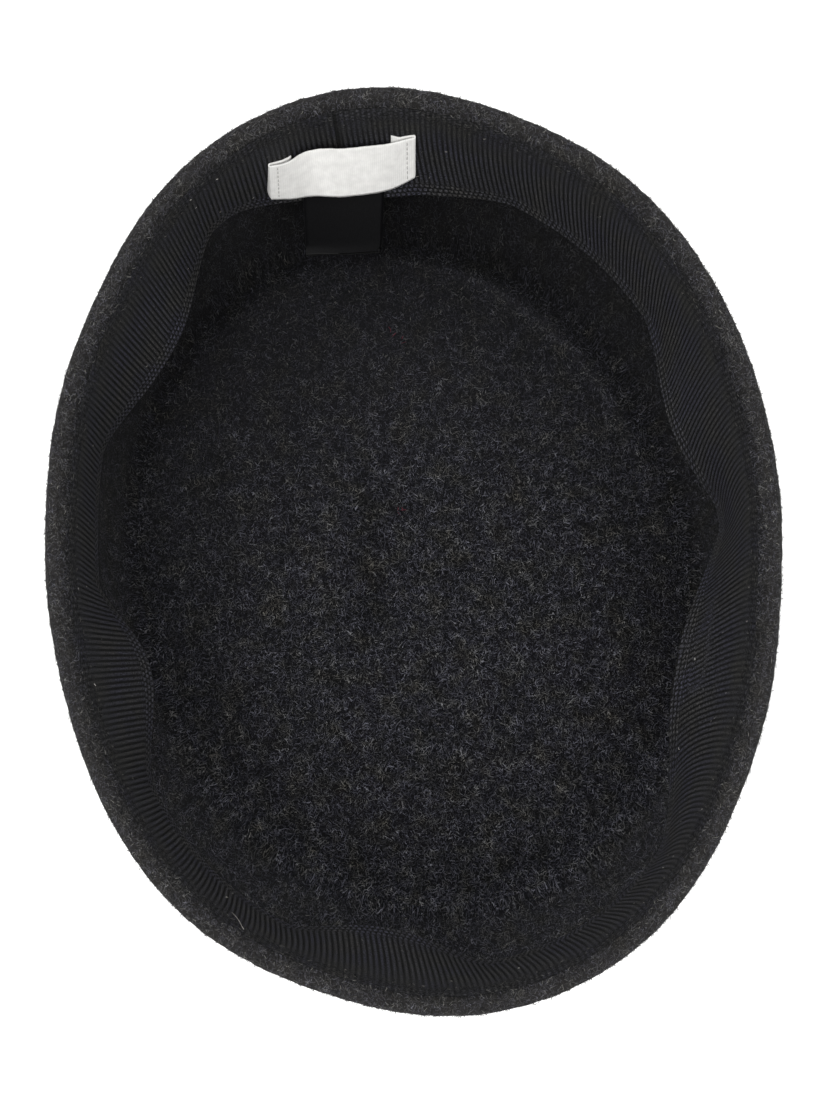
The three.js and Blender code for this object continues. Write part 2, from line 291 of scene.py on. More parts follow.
mid_z = np.concatenate([
    np.full_like(tip_radius, half),
    np.broadcast_to(turn_z, turn_radius.shape),
    np.broadcast_to(wall_z, wall_radius.shape),
])

# The hand leaves the felt faintly uneven, least where the ribbon is sewn on.
middle = polar(felt_bearing, mid_radius, mid_z)
sway = humps(middle, SWAY)
sway *= 1 - HELD * smooth((mid_z - HELD_FROM) / HELD_OVER)
sway[:TIP_ROWS] = np.abs(sway[:TIP_ROWS]) * smooth(tip_share * 8)


def dent_share(points):
    """1 along the fold in the tip, 0 away from it."""
    start, end = (np.array(p) for p in DENT)
    run = end - start
    along = np.clip(((points[..., :2] - start) @ run) / (run @ run), 0, 1)
    away = np.linalg.norm(points[..., :2] - start - along[..., None] * run, axis=-1)
    return np.exp(-(away / DENT_WIDTH) ** 2)


lean = np.arctan2(np.gradient(mid_z, axis=0), np.gradient(mid_radius, axis=0))
lean[:TIP_ROWS] = 0


def felt_face(off):
    """Points off the middle of the felt, outwards where off is over 0."""
    radius = mid_radius + (off + sway) * np.sin(lean)
    return polar(felt_bearing, radius, mid_z - (off + sway) * np.cos(lean))


outside = felt_face(half)
inside = felt_face(-half)
outside[:TIP_ROWS, :, 2] = np.minimum(outside[:TIP_ROWS, :, 2], 0.5)
outside[..., 2] = np.maximum(outside[..., 2], 0.0)
inside[:TIP_ROWS, :, 2] -= DENT_DEPTH * dent_share(inside[:TIP_ROWS])

# Where the tip turns up into the wall the block leaves a crease, which stands as a low ridge on
# one side of the back.
tip_edge = tip_radius[-1]
past_edge = np.hypot(inside[..., 0], inside[..., 1]) - tip_edge
ridge_bearing = (felt_bearing + 180) % 360 - 180
on_ridge = smooth((ridge_bearing + 5) / 15) * (1 - smooth((ridge_bearing - 68) / 20))
ridge = on_ridge * np.exp(-((past_edge + 0.5) / RIDGE_WIDTH) ** 2)
ridge[TIP_ROWS + CORNER_ROWS:] = 0
inside[..., 2] += RIDGE * ridge
rim_turn = np.radians(np.arange(1, RIM_ROWS) * 180 / RIM_ROWS)[:, None] + lean[-1] - np.pi / 2
rim_edge = polar(felt_bearing, mid_radius[-1] + half * np.cos(rim_turn),
                 mid_z[-1] + half * np.sin(rim_turn))
rim_edge[..., 2] += np.minimum(humps(rim_edge, WORN) - 0.12, 0.05)
rim_edge[..., :2] *= 1 + RAGGED * ripple(rim_edge, RAGGED_SIZE, 5.2)[..., None]

felt_grid = np.concatenate([outside, rim_edge, inside[::-1]])
felt_rows = len(felt_grid)
bottom_pole = felt_rows * FELT_COLUMNS
inside_pole = bottom_pole + 1
ring = np.arange(FELT_COLUMNS)
after = (ring + 1) % FELT_COLUMNS
last_ring = (felt_rows - 1) * FELT_COLUMNS
felt_faces = [
    grid_faces(felt_rows, FELT_COLUMNS, closed_columns=True),
    np.stack([np.full_like(ring, bottom_pole), after, ring], -1),
    np.stack([np.full_like(ring, inside_pole), last_ring + ring, last_ring + after], -1),
]
poles = [(0, 0, 0), (0, 0, inside[0, :, 2].mean())]
felt_points = np.concatenate([felt_grid.reshape(-1, 3), poles])

# Places on the felt: seen from above over the tip, and unrolled round the wall. On the steep
# inner wall fibres lie mostly up and down, so the pattern is drawn out that way.
INNER_WALL_SCALE = 0.4
corner_row, corner_column = np.divmod(felt_faces[0], FELT_COLUMNS)
corner_column[:, 1:3] = corner_column[:, :1] + 1
row_steps = np.linalg.norm(np.diff(felt_grid, axis=0), axis=2).mean(1)
row_steps[TIP_ROWS + CORNER_ROWS + WALL_ROWS + RIM_ROWS:] *= INNER_WALL_SCALE
row_place = np.concatenate([[0], np.cumsum(row_steps)])
wall_ring = felt_grid[TIP_ROWS + CORNER_ROWS + WALL_ROWS // 2]
column_place = np.cumsum(np.linalg.norm(np.roll(wall_ring, -1, axis=0) - wall_ring, axis=1))
column_place = np.concatenate([[0], column_place])
flat_rows = TIP_ROWS + CORNER_ROWS // 2
tip_faces = (corner_row.max(1) < flat_rows) | (corner_row.min(1) > felt_rows - flat_rows)
unrolled = np.stack([column_place[corner_column], row_place[corner_row]], -1)
planar = felt_points[felt_faces[0]][..., :2]
planar = planar + np.where(corner_row > felt_rows // 2, 900, 400)[..., None]
felt_uv = np.where(tip_faces[:, None, None], planar, unrolled).reshape(-1, 2)
cap_uv = [felt_points[block][..., :2].reshape(-1, 2) + 400 + 500 * number
          for number, block in enumerate(felt_faces[1:])]

# How pale the felt is, and how far its salt and pepper is evened out to a flat grey. Painted shade
# darkens it towards the tip's edge and on the tip's right, up the wall at the back and along the fold
# in the tip. Painted light pales the wall at the front and the crease on one side of the back. A random
# mottle runs over it all, and all of it fades out near the rim. The evening out is painted shade too;
# the middle of the tip stays pale and least evened.
# Painted shade and painted light inside the felt: how much each darkens or pales it.
PAINTED_SHADE_EDGE, PAINTED_SHADE_RIGHT, PAINTED_SHADE_BACK, PAINTED_LIGHT_FRONT = 0.30, 0.24, 0.36, 0.42
PAINTED_SHADE_DENT, PAINTED_HIGHLIGHT_RIDGE = 0.30, 0.35
MOTTLE = [(0.07, 13.0, 4.4), (0.06, 6.0, 8.8)]  # depth, size across and shift
across_tip = np.hypot((inside[..., 0] - 11) / TIP_HALF[0], (inside[..., 1] + 10) / TIP_HALF[1])
back_side = np.cos(np.radians(felt_bearing - 85) / 2) ** 2
right_side = np.exp(-((inside[..., 0] - 58) / 14) ** 2 - ((inside[..., 1] + 10) / 38) ** 2)
up_corner = smooth((past_edge + 1.5) / 5)
# Painted shade towards the tip's edge, on its right, up the back of the wall and along the fold;
# painted light up the front of the wall and on the crease.
dark = (PAINTED_SHADE_EDGE * smooth((across_tip - 0.4) / 0.7) + PAINTED_SHADE_RIGHT * right_side
        + up_corner * (PAINTED_SHADE_BACK * back_side - PAINTED_LIGHT_FRONT * (1 - back_side))
        + PAINTED_SHADE_DENT * dent_share(inside) * (past_edge < 0) - PAINTED_HIGHLIGHT_RIDGE * ridge)
# Painted shade: the salt and pepper is evened out to a flat grey, most towards the back of the tip.
evened = smooth((np.linalg.norm(inside - (12, -34, 3), axis=2) - 30) / 80)
evened *= 0.3 + 0.25 * smooth((inside[..., 1] + 10) / 70) - 0.25 * smooth((past_edge + 1) / 5)
dark = dark + humps(inside, MOTTLE)
raw = smooth((inside[..., 2] - HEIGHT + 7) / 5)
tone_inside = np.stack([1 - dark * (1 - raw), evened * (1 - raw)], -1)
tone_plain = np.array([1.0, 0.1])  # of the outside and the cut edge
tone_grid = np.concatenate([
    np.broadcast_to(tone_plain, outside.shape[:2] + (2,)),
    np.broadcast_to(tone_plain, rim_edge.shape[:2] + (2,)),
    tone_inside[::-1],
])
felt_tone = np.concatenate([tone_grid.reshape(-1, 2), [tone_plain, tone_inside[0].mean(0)]])
felt_crown = surface("felt_hood", felt_points, felt_faces,
                     cloth=np.concatenate([felt_uv, *cap_uv]) / 1000, tone=felt_tone)


def fibre_layer(material, place, size, thick, shift):
    """Short straight fibres strewn over the cloth, one to each cell about size across, each in
    its own direction. Gives 0 between them and up to 1 on the brightest."""
    cells = add(material, "VectorMath", {0: place, 1: (1 / size, 1 / size, 0), 2: (shift, shift, 0)},
                operation="MULTIPLY_ADD")
    cell = add(material, "TexVoronoi", {"Vector": cells, "Scale": 1.0}, out=None,
               voronoi_dimensions="2D")
    own = add(material, "VectorMath", {0: cells, 1: cell["Position"]}, operation="SUBTRACT")
    chance = add(material, "SeparateColor", {0: cell["Color"]}, out=None)
    turn = add(material, "Math", {0: chance[0], 1: math.pi}, operation="MULTIPLY")
    laid = add(material, "VectorRotate", {"Vector": own, "Angle": turn}, rotation_type="Z_AXIS")
    across = add(material, "SeparateXYZ", {0: laid}, out="Y")
    across = add(material, "Math", {0: across}, operation="ABSOLUTE")
    half_thick = thick / 2 / size
    inside_fibre = add(material, "MapRange", {"Value": across, "From Min": half_thick * 1.3,
                                              "From Max": half_thick * 0.5},
                       interpolation_type="SMOOTHSTEP")
    brightness = add(material, "Math", {0: chance[1], 1: 1.6}, operation="POWER")
    return add(material, "Math", {0: inside_fibre, 1: brightness}, operation="MULTIPLY")


# Wool felt, fulled and left unbrushed: charcoal made of black, grey and a few blue and brown
# fibres, which gives a salt and pepper of short curled strokes. Matt, with a soft bloom.
# Fibres are drawn 0.12 to 0.17 mm thick, coarser than the real 0.03 mm, so that they show.
FIBRES = [  # size of the cell that holds one, thickness, shift of its layer
    (0.40, 0.12, 3.0),
    (0.54, 0.14, 17.0),
    (0.74, 0.15, 41.0),
    (1.10, 0.17, 73.0),
]
CURLS_PER_MM = 0.8  # a fibre keeps its direction for about a millimetre
CLUMPS_PER_MM = 0.30
TINTS_PER_MM = 0.16
RAW_FROM, RAW_FULL = 6, 1  # how far below the rim the haze of the cut edge starts and is full
felt_wool = new_material("wool_felt_melange_fulled", Roughness=0.95, IOR=1.5,
                         Specular_IOR_Level=0.08, Sheen_Weight=0.02, Sheen_Roughness=0.6)
cloth = add(felt_wool, "UVMap", {}, uv_map="cloth")
mm = add(felt_wool, "VectorMath", {0: cloth, "Scale": 1000.0}, operation="SCALE")
drift = add(felt_wool, "TexNoise", {"Vector": mm, "Scale": CURLS_PER_MM, "Detail": 2.0},
            out="Color")
curled = add(felt_wool, "VectorMath", {0: drift, 1: (1.1, 1.1, 0), 2: mm},
             operation="MULTIPLY_ADD")
light = fibre_layer(felt_wool, curled, *FIBRES[0])
for layer in FIBRES[1:]:
    light = add(felt_wool, "Math", {0: light, 1: fibre_layer(felt_wool, curled, *layer)},
                operation="MAXIMUM")
clump = add(felt_wool, "TexNoise", {"Vector": mm, "Scale": CLUMPS_PER_MM, "Detail": 4.0,
                                    "Roughness": 0.7})
patch = add(felt_wool, "MapRange", {"Value": clump, "From Min": 0.3, "From Max": 0.7,
                                    "To Min": 0.5, "To Max": 1.15})
felt_place = add(felt_wool, "TexCoord", {}, out="Object")
up_wall = add(felt_wool, "SeparateXYZ", {0: felt_place}, out="Z")
raw_edge = add(felt_wool, "MapRange", {"Value": up_wall, "From Min": (HEIGHT - RAW_FROM) / 1000,
                                       "From Max": (HEIGHT - RAW_FULL) / 1000},
               interpolation_type="SMOOTHSTEP")
salt = add(felt_wool, "Math", {0: light, 1: patch}, operation="MULTIPLY")
felt_colour = add(felt_wool, "ValToRGB", {0: salt}, stops={
    0.0: srgb("#0a0a0b"),
    0.22: srgb("#19191b"),
    0.45: srgb("#303032"),
    0.75: srgb("#545456"),
    1.0: srgb("#7e7e7f"),
})
tint = add(felt_wool, "TexNoise", {"Vector": mm, "Scale": TINTS_PER_MM, "Detail": 3.0,
                                   "Roughness": 0.6})
tint_colour = add(felt_wool, "ValToRGB", {0: tint}, stops={
    0.30: srgb("#fdf7e6"),
    0.43: srgb("#fbfbfa"),
    0.56: srgb("#ebecff"),
    0.70: srgb("#fbf8f8"),
})
tinted = add(felt_wool, "Mix", {"Factor": 1.0, 6: felt_colour, 7: tint_colour},
             data_type="RGBA", blend_type="MULTIPLY", out=2)

# Painted shade evens out part of the salt and pepper to a flat grey, and the hazy cut rim hides part of
# it.
felt_tones = add(felt_wool, "UVMap", {}, uv_map="tone")
felt_tones = add(felt_wool, "SeparateXYZ", {0: felt_tones}, out=None)
tinted = add(felt_wool, "Mix", {0: felt_tones["Y"], 6: tinted, 7: srgb("#202022")},
             data_type="RGBA", out=2)
hazy = add(felt_wool, "Math", {0: raw_edge, 1: 0.26}, operation="MULTIPLY")
tinted = add(felt_wool, "Mix", {0: hazy, 6: tinted, 7: srgb("#42403d")}, data_type="RGBA", out=2)
# Painted shade and painted light, with the random mottle, scale the colour.
tinted = add(felt_wool, "VectorMath", {0: tinted, "Scale": felt_tones["X"]},
             operation="SCALE", out=0)
nap = add(felt_wool, "Math", {0: light, 1: clump}, operation="ADD")
finish_material(felt_wool, tinted, nap, 0.00012, 0.6)
felt_crown.data.materials.append(felt_wool)
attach(felt_crown, "root")
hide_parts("felt_crown")


# ---------------------------------------------------------------------------------------------
# Loose wool. Fibre ends stand off the felt everywhere, thickest along the cut rim. Each is a
# curled flat strand, coarser than the real one so that it shows.

FIBRE_STATIONS = 4
FIBRE_TAPER = [0.8, 1.0, 0.85, 0.35]


def strands(seed, roots, normals, tones, length, width, rise, curl, shades=(0, 0.94)):
    """Points, faces and shades of flat curled strands from roots on a surface. length, width
    and shades are ranges, rise is how steeply they leave it, curl how far they bend."""
    random = np.random.default_rng(seed)
    count = len(roots)
    long = random.uniform(*length, count)
    side = np.cross(normals, random.normal(size=(count, 3)))
    side /= np.linalg.norm(side, axis=1)[:, None]
    other = np.cross(normals, side)
    bend = random.normal(0, curl, count)
    climb = random.uniform(*rise, count)
    at = roots.copy()
    line = []
    for k in range(FIBRE_STATIONS):
        share = k / (FIBRE_STATIONS - 1)
        heading = bend * (share - 0.3)
        up = climb * (1 - 1.3 * share)
        run = (side * np.cos(heading)[:, None] + other * np.sin(heading)[:, None]
               + normals * up[:, None])
        run /= np.linalg.norm(run, axis=1)[:, None]
        line.append((at.copy(), run))
        at = at + run * (long / (FIBRE_STATIONS - 1))[:, None]
    roll = random.uniform(-0.9, 0.9, count)
    broad = random.uniform(*width, count)
    points = []
    for k, (centre, run) in enumerate(line):
        flat = np.cross(run, normals)
        flat /= np.maximum(np.linalg.norm(flat, axis=1), 1e-6)[:, None]
        tilted = flat * np.cos(roll)[:, None] + np.cross(run, flat) * np.sin(roll)[:, None]
        reach = tilted * (broad * FIBRE_TAPER[k] / 2)[:, None]
        points += [centre - reach, centre + reach]
    points = np.stack(points, 1).reshape(-1, 3)
    points[:, 2] = np.maximum(points[:, 2], 0.0)
    quads = np.array([[2 * k, 2 * k + 1, 2 * k + 3, 2 * k + 2] for k in range(FIBRE_STATIONS - 1)])
    faces = (quads[None] + 2 * FIBRE_STATIONS * np.arange(count)[:, None, None]).reshape(-1, 4)
    shade = np.stack([random.uniform(*shades, count), tones], -1)
    return points, faces, np.repeat(shade, 2 * FIBRE_STATIONS, axis=0)


def scatter(seed, count, first_row, last_row):
    """Places, normals and tones spread evenly over some rows of the felt's surface; the tones are the
    felt's painted shade and mottle at each place.
    """
    random = np.random.default_rng(seed)
    rows = np.arange(first_row, last_row)
    near, far = felt_grid[rows], felt_grid[rows + 1]
    near_next, far_next = np.roll(near, -1, axis=1), np.roll(far, -1, axis=1)
    cross = np.cross(near_next - near, far - near).reshape(-1, 3)
    area = np.linalg.norm(cross, axis=1)
    picked = random.choice(len(area), count, p=area / area.sum())
    u, v = random.uniform(size=(2, count, 1))
    corners = [corner.reshape(-1, 3)[picked] for corner in (near, near_next, far, far_next)]
    low = corners[0] * (1 - u) + corners[1] * u
    high = corners[2] * (1 - u) + corners[3] * u
    tones = tone_grid[rows, :, 0].ravel()[picked]
    return low * (1 - v) + high * v, cross[picked] / area[picked][:, None], tones


# The same wool in single fibres: mostly grey, from near black to almost white.
loose_wool = new_material("wool_fibre_loose", Roughness=0.8, Specular_IOR_Level=0.1,
                          Sheen_Weight=0.02, Sheen_Roughness=0.5)
fibre_shade = add(loose_wool, "UVMap", {}, uv_map="shade")
fibre_shade = add(loose_wool, "SeparateXYZ", {0: fibre_shade}, out=None)
fibre_colour = add(loose_wool, "ValToRGB", {0: fibre_shade["X"]}, stops={
    0.0: srgb("#0b0b0c"),
    0.33: srgb("#19191b"),
    0.56: srgb("#2c2c2e"),
    0.75: srgb("#424244"),
    0.87: srgb("#595856"),
    0.94: srgb("#7d7c78"),
    0.97: srgb("#a8a6a0"),
    1.0: srgb("#5c2a34"),
})
# The second number scales the colour: the felt's painted shade at a fibre's root, or a set brightness
# for lint.
fibre_colour = add(loose_wool, "VectorMath", {0: fibre_colour, "Scale": fibre_shade["Y"]},
                   operation="SCALE", out=0)
fibre_object = add(loose_wool, "TexCoord", {}, out="Object")
fibre_grain = add(loose_wool, "TexNoise", {"Vector": fibre_object, "Scale": 4000.0})
finish_material(loose_wool, fibre_colour, fibre_grain, 0.00002, 0.3)

outer_last = TIP_ROWS + CORNER_ROWS + WALL_ROWS - 1
inner_first = outer_last + RIM_ROWS
inner_floor = inner_first + WALL_ROWS
NAPS = [  # name, seed, count, first and last row, length, width, rise, curl
    ("nap_outside", 11, 24000, TIP_ROWS, outer_last, (0.6, 1.6), (0.05, 0.09), (0.1, 0.5), 1.1),
    ("nap_rim", 12, 24000, outer_last - 3, inner_first + 4, (0.3, 1.3), (0.07, 0.13), (0.2, 1.0), 1.2),
    ("nap_tip", 13, 26000, inner_floor, felt_rows - 1, (0.4, 1.0), (0.05, 0.09), (0.1, 0.5), 1.2),
    ("nap_inside", 14, 14000, inner_first, inner_floor, (0.5, 1.4), (0.05, 0.10), (0.1, 0.5), 1.1),
]
for name, seed, count, first_row, last_row, length, width, rise, curl in NAPS:
    roots, normals, tones = scatter(seed, count, first_row, last_row)
    points, faces, shade = strands(seed + 50, roots, normals, tones, length, width, rise, curl)
    nap = surface(name, points, [faces], shade=shade)
    nap.data.materials.append(loose_wool)
    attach(nap, "root")


# ---------------------------------------------------------------------------------------------
# Sweatband. A grosgrain ribbon 30 mm wide: fat weft cords give ribs across it every 1.27 mm,
# and a firm selvedge runs along each edge. Its upper edge is sewn to the felt, its lower edge
# is free and waves in towards the head, and its ends lap at the back.

BAND_WIDTH = 30
BAND_DEPTH_SIDE, BAND_DEPTH_END = 5.5, 3.2  # below the rim at the sides, and front and back
RIBBON = 0.55  # thickness of the cloth
SEATED = 0.12  # clear of the felt
SUNK = 0.7  # how deep the sewing pulls its upper edge
SUNK_OVER = 1.6
EASE = 0.15  # how far its free edge stands off between the folds
CURL = 1.5  # how late across its width it leaves the felt
SEAM_BEARING = 90
LAP_BEARING = 5
LAP_RISE_BEARING = 5
LAP_STEP = RIBBON + 0.15  # how high one end climbs onto the other
FOLDS = [  # bearing of the crest, how far it stands off, degrees it rises and falls over
    (19, 7.6, 22, 20),
    (54, 3.4, 52, 40),
    (90, 8.6, 24, 20),
    (128, 9.6, 15, 25),
    (195, 9.3, 19, 18),
    (259, 7.8, 16, 14),
    (327, 12.8, 25, 36),
]
FOLD_POWER = 1.5
RIB_PITCH, RIB_STRETCH = 1.27, 0.09
RIB_HEIGHT = 0.34
RIB_SAMPLES = 6
RIB_HELD, RIB_FREE = 0.25, 11  # share of a rib left where it is sewn, depth where it is whole
SELVEDGE = 3.9
PICOT_ROW = 1.25  # spacing of the rows of beads along the selvedge
PICOT_HEIGHT = 0.14
PULLS = np.array([  # bearing, how far the free edge is dragged round by the curve, mm
    (0, -10),
    (10, -11),
    (23, -8.5),
    (40, -7),
    (62, -5.5),
    (78, -4),
    (98, 0),
    (150, 1),
    (200, 2),
    (240, -3),
    (285, -2.5),
    (305, -6.5),
    (320, -11),
    (335, -10.5),
    (350, -9),
    (360, -10),
])


def fold_stand(bearing):
    """How far the ribbon's free edge stands off the felt."""
    total = np.full_like(bearing, EASE)
    for crest, stand, before, after_crest in FOLDS:
        away = (bearing - crest + 540) % 360 - 180
        share = away / np.where(away < 0, before, after_crest)
        total = total + stand * np.maximum(1 - share ** 2, 0) ** FOLD_POWER
    return total


# The ribbon's outer face as a table: every quarter degree, and every half millimetre across.
TABLE_DEGREES, TABLE_MM = 0.25, 0.5
table_bearing = np.arange(0, 360, TABLE_DEGREES)
side_share = np.cos(np.radians(table_bearing)) ** 2
band_z = [HEIGHT - BAND_DEPTH_END - (BAND_DEPTH_SIDE - BAND_DEPTH_END) * side_share]
band_radius = [inner_radius(table_bearing, band_z[0]) - SEATED]
for j in range(1, round((BAND_WIDTH + 6) / TABLE_MM) + 1):
    share = j * TABLE_MM / BAND_WIDTH
    off = SEATED + fold_stand(table_bearing) * share ** CURL
    next_radius, next_z = band_radius[-1], band_z[-1] - TABLE_MM
    for _ in range(3):
        next_radius = inner_radius(table_bearing, next_z) - off
        drop = np.maximum(TABLE_MM ** 2 - (band_radius[-1] - next_radius) ** 2, 0.01)
        next_z = band_z[-1] - np.sqrt(drop)
    band_radius.append(next_radius)
    band_z.append(next_z)
band_radius, band_z = np.array(band_radius), np.array(band_z)
band_lean = np.arctan2(-np.gradient(band_radius, axis=0), -np.gradient(band_z, axis=0))


def on_band(bearing, down, off):
    """Points on the ribbon, down from its sewn edge and off its outer face to the head."""
    bearing, down, off = np.broadcast_arrays(bearing, down, off)
    column = (bearing % 360) / TABLE_DEGREES
    row = np.clip(down / TABLE_MM, 0, len(band_z) - 1.001)
    i, j = column.astype(int), row.astype(int)
    s, t = column - i, row - j
    i, i_next = i % len(table_bearing), (i + 1) % len(table_bearing)

    def read(table):
        low = table[j, i] * (1 - s) + table[j, i_next] * s
        high = table[j + 1, i] * (1 - s) + table[j + 1, i_next] * s
        return low * (1 - t) + high * t

    tilt = read(band_lean)
    return polar(bearing, read(band_radius) - off * np.cos(tilt), read(band_z) - off * np.sin(tilt))


# Length along the ribbon's sewn edge for each bearing from its first end.
band_start = SEAM_BEARING - LAP_BEARING / 2
walk_bearing = band_start + np.arange(0, 360 + LAP_BEARING + 0.01, TABLE_DEGREES)
walk = on_band(walk_bearing, 12.0, 0.0)
walked = np.concatenate([[0], np.cumsum(np.linalg.norm(np.diff(walk, axis=0), axis=1))])

# Ribs lie closest at the back, where the ribbon is eased in, and open out round the front.
local_pitch = RIB_PITCH - RIB_STRETCH * np.cos(np.radians(walk_bearing - 75))
counted = np.concatenate([[0], np.cumsum(np.diff(walked) / local_pitch[1:])])
ribs = round(counted[-1])
rib_phase = np.arange(ribs * RIB_SAMPLES + 1) / RIB_SAMPLES
along = np.interp(rib_phase, counted * ribs / counted[-1], walked)
pitch = walked[-1] / ribs
column_bearing = np.interp(along, walked, walk_bearing)
lapped = (column_bearing - band_start - 360 + LAP_RISE_BEARING) / LAP_RISE_BEARING
climb = LAP_STEP * smooth(lapped)

FACE_DOWNS = np.array([0, 0.4, 0.9, 1.8, 3.5, 6.5, 9.5, 12.5, 15.5, 18.5, 21.5, 24, 25.4,
                       26.1, 26.5, 27, 27.4, 27.8, 28.2, 28.6, 29, 29.4, 29.75, 30])
BACK_DOWNS = np.array([30, 26, 18, 10, 2, 0])


def rib_wave(phase):
    """A round cord top and a narrow groove, from 0 to 1 once for each whole phase."""
    return np.sqrt(np.abs(np.sin(np.pi * phase)))


def pulled(bearing, down):
    """The bearing of a rib some way down from where it leaves the sewn edge."""
    dragged = np.interp(bearing % 360, PULLS[:, 0], PULLS[:, 1]) * (down / BAND_WIDTH) ** 2
    radius = np.hypot(*np.moveaxis(on_band(bearing, down, 0.0)[..., :2], -1, 0))
    return bearing + np.degrees(dragged / radius)


def seat_share(down):
    """How far the sewing pulls the ribbon in, 1 at its upper edge."""
    return 1 - smooth(down / SUNK_OVER)


rows = []
for down in FACE_DOWNS:
    strength = RIB_HELD + (1 - RIB_HELD) * smooth((down - 1) / RIB_FREE)
    if down > BAND_WIDTH - SELVEDGE:
        bead = np.sin(2 * np.pi * rib_phase + np.pi * ((down - BAND_WIDTH) // PICOT_ROW))
        row_share = np.abs(np.sin(np.pi * (down - BAND_WIDTH) / PICOT_ROW))
        lift = PICOT_HEIGHT * (bead * row_share - 1)
    else:
        lift = RIB_HEIGHT * strength * (rib_wave(rib_phase) - 1)
    seat = seat_share(down)
    edge = 0.15 * np.sin(2 * np.pi * rib_phase) if down == BAND_WIDTH else 0.0
    rows.append(on_band(pulled(column_bearing, down), down + edge,
                        climb * (1 - 0.8 * seat) + RIBBON - SUNK * seat + lift))
for down in BACK_DOWNS:
    lift = 0.3 * RIB_HEIGHT * (1 - rib_wave(rib_phase)) * smooth(down / 2)
    seat = seat_share(down)
    rows.append(on_band(pulled(column_bearing, down), down,
                        climb * (1 - 0.8 * seat) + lift - (SUNK - RIBBON + 0.2) * seat))
band_grid = np.array(rows)
row_downs = np.concatenate([FACE_DOWNS, BACK_DOWNS])
band_uv = np.stack(np.broadcast_arrays(rib_phase[None, :] * pitch, row_downs[:, None]), -1) / 1000
band_rows, band_columns = band_grid.shape[:2]
grid = grid_faces(band_rows, band_columns, closed_rows=True)
ends = []
for column in (0, band_columns - 1):
    loop = np.arange(band_rows) * band_columns + column
    ends.append(loop[None, :] if column == 0 else loop[None, ::-1])
sweatband = surface("grosgrain_sweatband", band_grid, [grid, *ends], cloth=band_uv)

# Grosgrain of cotton and rayon, dyed black: round ribs, with painted highlights on their tops and
# painted shade in their grooves, crossed by fine warp threads that step from rib to rib, and beaded
# along the selvedge, with painted highlights on the beads. Warp threads are drawn three times the real
# spacing apart, to show.
WARP_SPACING = 0.55
SLUBS_PER_MM = 2.2  # the yarn swells and thins about every half millimetre
SHADES_PER_MM = 0.12
END_SHADE_FROM, END_SHADE_FULL = 1.0, 0.6  # how far from the lapped end the painted shadow along its edge starts and is full
grosgrain = new_material("grosgrain_woven_black", Roughness=0.6, Specular_IOR_Level=0.2,
                         Sheen_Weight=0.03, Sheen_Roughness=0.4)
cloth = add(grosgrain, "UVMap", {}, uv_map="cloth")
mm_cloth = add(grosgrain, "VectorMath", {0: cloth, "Scale": 1000.0}, operation="SCALE")
split = add(grosgrain, "SeparateXYZ", {0: cloth}, out=None)
lengthwise, crosswise = split["X"], split["Y"]


def waves(material, value, spacing, shift=0.0):
    """A round-topped wave from 0 to 1, once each spacing (metres)."""
    turned = add(material, "Math", {0: value, 1: math.pi / spacing, 2: shift},
                 operation="MULTIPLY_ADD")
    sine = add(material, "Math", {0: turned}, operation="SINE")
    return add(material, "Math", {0: sine}, operation="ABSOLUTE")


rib_top = waves(grosgrain, lengthwise, pitch / 1000)
rib_number = add(grosgrain, "Math", {0: lengthwise, 1: pitch / 1000}, operation="DIVIDE")
rib_number = add(grosgrain, "Math", {0: rib_number}, operation="FLOOR")
stepped = add(grosgrain, "Math", {0: rib_number, 1: WARP_SPACING / 2000, 2: crosswise},
              operation="MULTIPLY_ADD")
warp = waves(grosgrain, stepped, WARP_SPACING / 1000)
slub = add(grosgrain, "TexNoise", {"Vector": mm_cloth, "Scale": SLUBS_PER_MM, "Detail": 4.0,
                                   "Roughness": 0.7})
# Painted shade between the warp threads and where the yarn thins.
warp_and_slub = add(grosgrain, "Math", {0: warp, 1: slub}, operation="MULTIPLY")

# Beads stand in rows along the selvedge, each row half a bead on from the last.
bead_rows = waves(grosgrain, crosswise, PICOT_ROW / 1000, -math.pi * BAND_WIDTH / PICOT_ROW)
bead_row = add(grosgrain, "Math", {0: crosswise, 1: 1000 / PICOT_ROW,
                                   2: -BAND_WIDTH / PICOT_ROW}, operation="MULTIPLY_ADD")
bead_row = add(grosgrain, "Math", {0: bead_row}, operation="FLOOR")
bead_shift = add(grosgrain, "Math", {0: bead_row, 1: math.pi / 2, 2: math.pi / 4},
                 operation="MULTIPLY_ADD")
bead_column = waves(grosgrain, lengthwise, pitch / 1000, bead_shift)
bead = add(grosgrain, "Math", {0: bead_rows, 1: bead_column}, operation="MULTIPLY")

shares = {}
for name, value, none, full in [  # where each shade of the ribbon starts and is full
    ("rib", rib_top, 0.38, 1.0),
    ("free", crosswise, 0.002, 0.015),
    ("selvedge", crosswise, (BAND_WIDTH - SELVEDGE - 0.3) / 1000, (BAND_WIDTH - SELVEDGE + 0.3) / 1000),
    ("bead", bead, 0.15, 0.8),
    ("warp_gap_shade", warp_and_slub, 0.45, 0.1),
    ("painted_end_shade", lengthwise, (walked[-1] - END_SHADE_FROM) / 1000, (walked[-1] - END_SHADE_FULL) / 1000),
]:
    shares[name] = add(grosgrain, "MapRange", {"Value": value, "From Min": none, "From Max": full},
                       interpolation_type="SMOOTHSTEP")
shares["warp_gap_shade"] = add(grosgrain, "Math", {0: shares["warp_gap_shade"], 1: 0.7}, operation="MULTIPLY")
